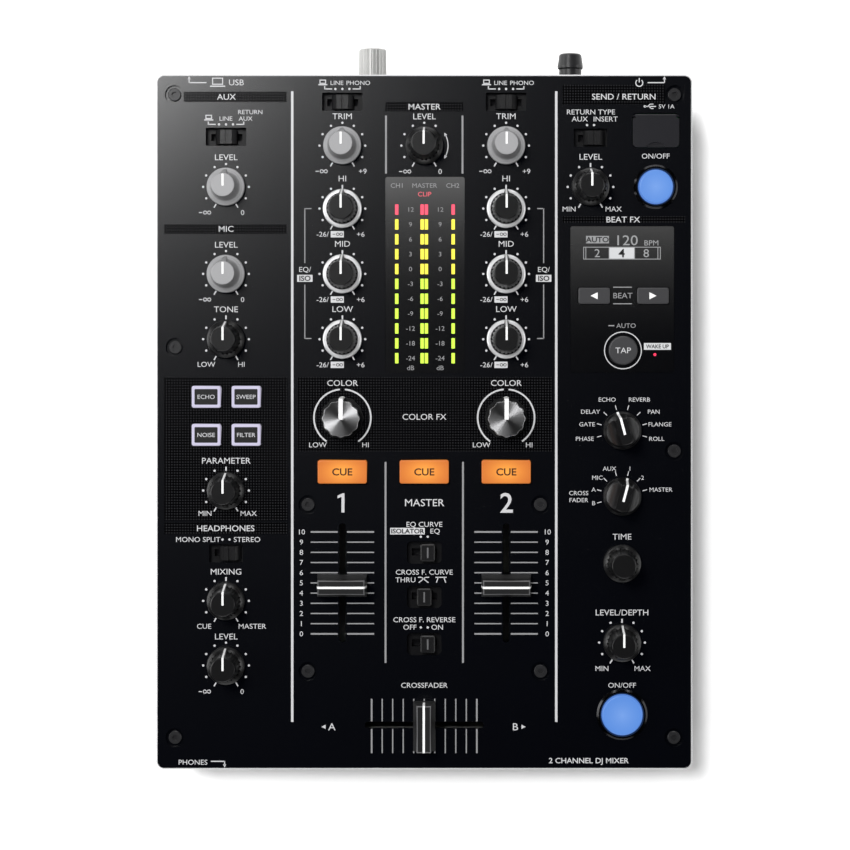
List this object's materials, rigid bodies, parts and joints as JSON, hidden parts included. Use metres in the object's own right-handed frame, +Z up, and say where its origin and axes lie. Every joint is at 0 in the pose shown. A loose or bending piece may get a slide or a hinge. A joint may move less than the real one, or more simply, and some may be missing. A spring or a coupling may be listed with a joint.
{
  "type": "dj mixer",
  "caption": "Tabletop DJ mixer with rotary knobs, lit keys, slide switches and faders on a flat black faceplate over a steel case with sockets at the back.",
  "frame": {"origin": "middle of the whole footprint, on the plane under the rubber feet", "axes": "+X to the right as seen by the person using it, +Y to the rear where the sockets are, +Z up"},
  "size_m": [0.23, 0.3116, 0.1079],
  "materials": {
    "faceplate_black": "satin black lacquer, bright bevelled rim",
    "case_black": "fine-textured black powder coat",
    "rear_black": "fine-textured black powder coat with white print",
    "smoked_window": "polished smoked acrylic",
    "bezel_metal": "dark chrome ring",
    "foot_rubber": "matt moulded rubber",
    "screw_steel": "black oxide steel",
    "board_green": "glass-fibre board with green mask",
    "control_body": "moulded control bodies",
    "zinc_steel": "zinc-plated sheet steel",
    "rca_metal": "plated barrels with coloured rings",
    "socket_black": "black moulding with plated nuts",
    "cover_black": "satin black moulding",
    "terminal_metal": "turned and knurled, bright",
    "power_key": "satin black moulding",
    "fader_cap_black": "satin black cap with white line on a steel tongue",
    "cue_orange": "translucent orange, lit from below",
    "pad_white": "dark centre with a lit white frame",
    "key_grey": "satin dark grey moulding",
    "key_blue": "translucent blue, lit from below",
    "color_knob_metal": "spun metal face over a dark scalloped base, white pointer bar",
    "knob_grey": "satin grey moulding with white pointer",
    "knob_black": "soft-touch black moulding with white pointer",
    "knob_black_ringed": "soft-touch black moulding in a bright silver ring, white pointer",
    "slider_black": "satin black moulding"
  },
  "bodies": {
    "case": {"top_panel": "faceplate_black", "case_tub": "case_black", "rear_panel": "rear_black", "windows": "smoked_window", "button_bezels": "bezel_metal", "rubber_feet": "foot_rubber", "screws": "screw_steel", "circuit_boards": "board_green", "control_units": "control_body", "fader_units": "zinc_steel", "rca_sockets": "rca_metal", "plug_sockets": "socket_black"},
    "crossfader": {"crossfader": "fader_cap_black"},
    "ch1_fader": {"ch1_fader": "fader_cap_black"},
    "ch2_fader": {"ch2_fader": "fader_cap_black"},
    "usb_cover": {"usb_cover": "cover_black"},
    "ch1_input_switch": {"ch1_input_switch": "slider_black"},
    "eq_curve_switch": {"eq_curve_switch": "slider_black"},
    "phones_mode_switch": {"phones_mode_switch": "slider_black"},
    "power_button": {"power_button": "power_key"},
    "effect_selector_knob": {"effect_selector_knob": "knob_black"},
    "channel_selector_knob": {"channel_selector_knob": "knob_black"},
    "ch1_color_knob": {"ch1_color_knob": "color_knob_metal"},
    "ch1_hi_knob": {"ch1_hi_knob": "knob_black_ringed"},
    "mic_level_knob": {"mic_level_knob": "knob_grey"},
    "depth_knob": {"depth_knob": "knob_black"},
    "time_knob": {"time_knob": "knob_black"},
    "ground_terminal": {"ground_terminal": "terminal_metal"},
    "ch1_cue_button": {"ch1_cue_button": "cue_orange"},
    "effect_on_button": {"effect_on_button": "key_blue"},
    "send_on_button": {"send_on_button": "key_blue"},
    "tap_button": {"tap_button": "key_grey"},
    "echo_button": {"echo_button": "pad_white"},
    "beat_left_button": {"beat_left_button": "key_grey"},
    "crossfader_reverse_switch": {"crossfader_reverse_switch": "slider_black"},
    "crossfader_curve_switch": {"crossfader_curve_switch": "slider_black"},
    "aux_input_switch": {"aux_input_switch": "slider_black"},
    "ch2_input_switch": {"ch2_input_switch": "slider_black"},
    "return_type_switch": {"return_type_switch": "slider_black"},
    "master_cue_button": {"master_cue_button": "cue_orange"},
    "ch2_cue_button": {"ch2_cue_button": "cue_orange"},
    "sweep_button": {"sweep_button": "pad_white"},
    "noise_button": {"noise_button": "pad_white"},
    "filter_button": {"filter_button": "pad_white"},
    "beat_right_button": {"beat_right_button": "key_grey"},
    "aux_level_knob": {"aux_level_knob": "knob_grey"},
    "mic_tone_knob": {"mic_tone_knob": "knob_black"},
    "parameter_knob": {"parameter_knob": "knob_black"},
    "phones_mix_knob": {"phones_mix_knob": "knob_black"},
    "phones_level_knob": {"phones_level_knob": "knob_black"},
    "master_level_knob": {"master_level_knob": "knob_black"},
    "send_level_knob": {"send_level_knob": "knob_black"},
    "ch1_trim_knob": {"ch1_trim_knob": "knob_grey"},
    "ch1_mid_knob": {"ch1_mid_knob": "knob_black_ringed"},
    "ch1_low_knob": {"ch1_low_knob": "knob_black_ringed"},
    "ch2_trim_knob": {"ch2_trim_knob": "knob_grey"},
    "ch2_hi_knob": {"ch2_hi_knob": "knob_black_ringed"},
    "ch2_mid_knob": {"ch2_mid_knob": "knob_black_ringed"},
    "ch2_low_knob": {"ch2_low_knob": "knob_black_ringed"},
    "ch2_color_knob": {"ch2_color_knob": "color_knob_metal"}
  },
  "joints": [
    {"name": "crossfader_slide", "type": "slide", "parent": "case", "child": "crossfader", "axis": [1, 0, 0], "range_m": [-0.0225, 0.0225]},
    {"name": "ch1_fader_slide", "type": "slide", "parent": "case", "child": "ch1_fader", "axis": [0, 1, 0], "range_m": [-0.0216, 0.0234]},
    {"name": "ch2_fader_slide", "type": "slide", "parent": "case", "child": "ch2_fader", "axis": [0, 1, 0], "range_m": [-0.0216, 0.0234]},
    {"name": "usb_cover_hinge", "type": "hinge", "parent": "case", "child": "usb_cover", "pos_m": [0.0994, 0.1246, 0.0922], "axis": [-1, 0, 0], "range_deg": [0, 100]},
    {"name": "ch1_input_slide", "type": "slide", "parent": "case", "child": "ch1_input_switch", "axis": [1, 0, 0], "range_m": [-0.003, 0.003]},
    {"name": "eq_curve_slide", "type": "slide", "parent": "case", "child": "eq_curve_switch", "axis": [1, 0, 0], "range_m": [-0.003, 0]},
    {"name": "phones_mode_slide", "type": "slide", "parent": "case", "child": "phones_mode_switch", "axis": [1, 0, 0], "range_m": [-0.003, 0]},
    {"name": "power_press", "type": "slide", "parent": "case", "child": "power_button", "axis": [0, -1, 0], "range_m": [0, 0.003], "stiffness_N_per_m": 150, "springref_m": -0.003},
    {"name": "effect_selector_turn", "type": "hinge", "parent": "case", "child": "effect_selector_knob", "pos_m": [0.0848, -0.0104, 0.1], "axis": [0, 0, 1], "range_deg": [-120, 90]},
    {"name": "channel_selector_turn", "type": "hinge", "parent": "case", "child": "channel_selector_knob", "pos_m": [0.0848, -0.0387, 0.1], "axis": [0, 0, 1], "range_deg": [-60, 120]},
    {"name": "ch1_color_turn", "type": "hinge", "parent": "case", "child": "ch1_color_knob", "pos_m": [-0.0351, -0.005, 0.1], "axis": [0, 0, 1], "range_deg": [-150, 150]},
    {"name": "ch1_hi_turn", "type": "hinge", "parent": "case", "child": "ch1_hi_knob", "pos_m": [-0.0351, 0.0847, 0.1], "axis": [0, 0, 1], "range_deg": [-150, 150]},
    {"name": "mic_level_turn", "type": "hinge", "parent": "case", "child": "mic_level_knob", "pos_m": [-0.085, 0.0567, 0.1], "axis": [0, 0, 1], "range_deg": [-150, 150]},
    {"name": "depth_turn", "type": "hinge", "parent": "case", "child": "depth_knob", "pos_m": [0.0848, -0.1014, 0.1], "axis": [0, 0, 1], "range_deg": [-150, 150]},
    {"name": "time_turn", "type": "hinge", "parent": "case", "child": "time_knob", "pos_m": [0.0848, -0.0674, 0.1], "axis": [0, 0, 1], "continuous": true},
    {"name": "ground_terminal_turn", "type": "hinge", "parent": "case", "child": "ground_terminal", "pos_m": [-0.023, 0.1432, 0.07], "axis": [0, 1, 0], "continuous": true},
    {"name": "ch1_cue_press", "type": "slide", "parent": "case", "child": "ch1_cue_button", "axis": [0, 0, -1], "range_m": [0, 0.0008], "stiffness_N_per_m": 250, "springref_m": -0.001},
    {"name": "effect_on_press", "type": "slide", "parent": "case", "child": "effect_on_button", "axis": [0, 0, -1], "range_m": [0, 0.0008], "stiffness_N_per_m": 250, "springref_m": -0.001},
    {"name": "send_on_press", "type": "slide", "parent": "case", "child": "send_on_button", "axis": [0, 0, -1], "range_m": [0, 0.0008], "stiffness_N_per_m": 250, "springref_m": -0.001},
    {"name": "tap_press", "type": "slide", "parent": "case", "child": "tap_button", "axis": [0, 0, -1], "range_m": [0, 0.0008], "stiffness_N_per_m": 250, "springref_m": -0.001},
    {"name": "echo_press", "type": "slide", "parent": "case", "child": "echo_button", "axis": [0, 0, -1], "range_m": [0, 0.0008], "stiffness_N_per_m": 250, "springref_m": -0.001},
    {"name": "beat_left_press", "type": "slide", "parent": "case", "child": "beat_left_button", "axis": [0, 0, -1], "range_m": [0, 0.0008], "stiffness_N_per_m": 250, "springref_m": -0.001},
    {"name": "crossfader_reverse_slide", "type": "slide", "parent": "case", "child": "crossfader_reverse_switch", "axis": [1, 0, 0], "range_m": [-0.003, 0]},
    {"name": "crossfader_curve_slide", "type": "slide", "parent": "case", "child": "crossfader_curve_switch", "axis": [1, 0, 0], "range_m": [-0.003, 0.003]},
    {"name": "aux_input_slide", "type": "slide", "parent": "case", "child": "aux_input_switch", "axis": [1, 0, 0], "range_m": [-0.003, 0.003]},
    {"name": "ch2_input_slide", "type": "slide", "parent": "case", "child": "ch2_input_switch", "axis": [1, 0, 0], "range_m": [-0.003, 0.003]},
    {"name": "return_type_slide", "type": "slide", "parent": "case", "child": "return_type_switch", "axis": [1, 0, 0], "range_m": [-0.003, 0]},
    {"name": "master_cue_press", "type": "slide", "parent": "case", "child": "master_cue_button", "axis": [0, 0, -1], "range_m": [0, 0.0008], "stiffness_N_per_m": 250, "springref_m": -0.001},
    {"name": "ch2_cue_press", "type": "slide", "parent": "case", "child": "ch2_cue_button", "axis": [0, 0, -1], "range_m": [0, 0.0008], "stiffness_N_per_m": 250, "springref_m": -0.001},
    {"name": "sweep_press", "type": "slide", "parent": "case", "child": "sweep_button", "axis": [0, 0, -1], "range_m": [0, 0.0008], "stiffness_N_per_m": 250, "springref_m": -0.001},
    {"name": "noise_press", "type": "slide", "parent": "case", "child": "noise_button", "axis": [0, 0, -1], "range_m": [0, 0.0008], "stiffness_N_per_m": 250, "springref_m": -0.001},
    {"name": "filter_press", "type": "slide", "parent": "case", "child": "filter_button", "axis": [0, 0, -1], "range_m": [0, 0.0008], "stiffness_N_per_m": 250, "springref_m": -0.001},
    {"name": "beat_right_press", "type": "slide", "parent": "case", "child": "beat_right_button", "axis": [0, 0, -1], "range_m": [0, 0.0008], "stiffness_N_per_m": 250, "springref_m": -0.001},
    {"name": "aux_level_turn", "type": "hinge", "parent": "case", "child": "aux_level_knob", "pos_m": [-0.085, 0.094, 0.1], "axis": [0, 0, 1], "range_deg": [-150, 150]},
    {"name": "mic_tone_turn", "type": "hinge", "parent": "case", "child": "mic_tone_knob", "pos_m": [-0.085, 0.0287, 0.1], "axis": [0, 0, 1], "range_deg": [-150, 150]},
    {"name": "parameter_turn", "type": "hinge", "parent": "case", "child": "parameter_knob", "pos_m": [-0.085, -0.0362, 0.1], "axis": [0, 0, 1], "range_deg": [-150, 150]},
    {"name": "phones_mix_turn", "type": "hinge", "parent": "case", "child": "phones_mix_knob", "pos_m": [-0.085, -0.0835, 0.1], "axis": [0, 0, 1], "range_deg": [-150, 150]},
    {"name": "phones_level_turn", "type": "hinge", "parent": "case", "child": "phones_level_knob", "pos_m": [-0.085, -0.1112, 0.1], "axis": [0, 0, 1], "range_deg": [-150, 150]},
    {"name": "master_level_turn", "type": "hinge", "parent": "case", "child": "master_level_knob", "pos_m": [0, 0.1117, 0.1], "axis": [0, 0, 1], "range_deg": [-150, 150]},
    {"name": "send_level_turn", "type": "hinge", "parent": "case", "child": "send_level_knob", "pos_m": [0.0713, 0.094, 0.1], "axis": [0, 0, 1], "range_deg": [-150, 150]},
    {"name": "ch1_trim_turn", "type": "hinge", "parent": "case", "child": "ch1_trim_knob", "pos_m": [-0.0351, 0.1117, 0.1], "axis": [0, 0, 1], "range_deg": [-150, 150]},
    {"name": "ch1_mid_turn", "type": "hinge", "parent": "case", "child": "ch1_mid_knob", "pos_m": [-0.0351, 0.0567, 0.1], "axis": [0, 0, 1], "range_deg": [-150, 150]},
    {"name": "ch1_low_turn", "type": "hinge", "parent": "case", "child": "ch1_low_knob", "pos_m": [-0.0351, 0.0287, 0.1], "axis": [0, 0, 1], "range_deg": [-150, 150]},
    {"name": "ch2_trim_turn", "type": "hinge", "parent": "case", "child": "ch2_trim_knob", "pos_m": [0.0351, 0.1117, 0.1], "axis": [0, 0, 1], "range_deg": [-150, 150]},
    {"name": "ch2_hi_turn", "type": "hinge", "parent": "case", "child": "ch2_hi_knob", "pos_m": [0.0351, 0.0847, 0.1], "axis": [0, 0, 1], "range_deg": [-150, 150]},
    {"name": "ch2_mid_turn", "type": "hinge", "parent": "case", "child": "ch2_mid_knob", "pos_m": [0.0351, 0.0567, 0.1], "axis": [0, 0, 1], "range_deg": [-150, 150]},
    {"name": "ch2_low_turn", "type": "hinge", "parent": "case", "child": "ch2_low_knob", "pos_m": [0.0351, 0.0287, 0.1], "axis": [0, 0, 1], "range_deg": [-150, 150]},
    {"name": "ch2_color_turn", "type": "hinge", "parent": "case", "child": "ch2_color_knob", "pos_m": [0.0351, -0.005, 0.1], "axis": [0, 0, 1], "range_deg": [-150, 150]}
  ]
}
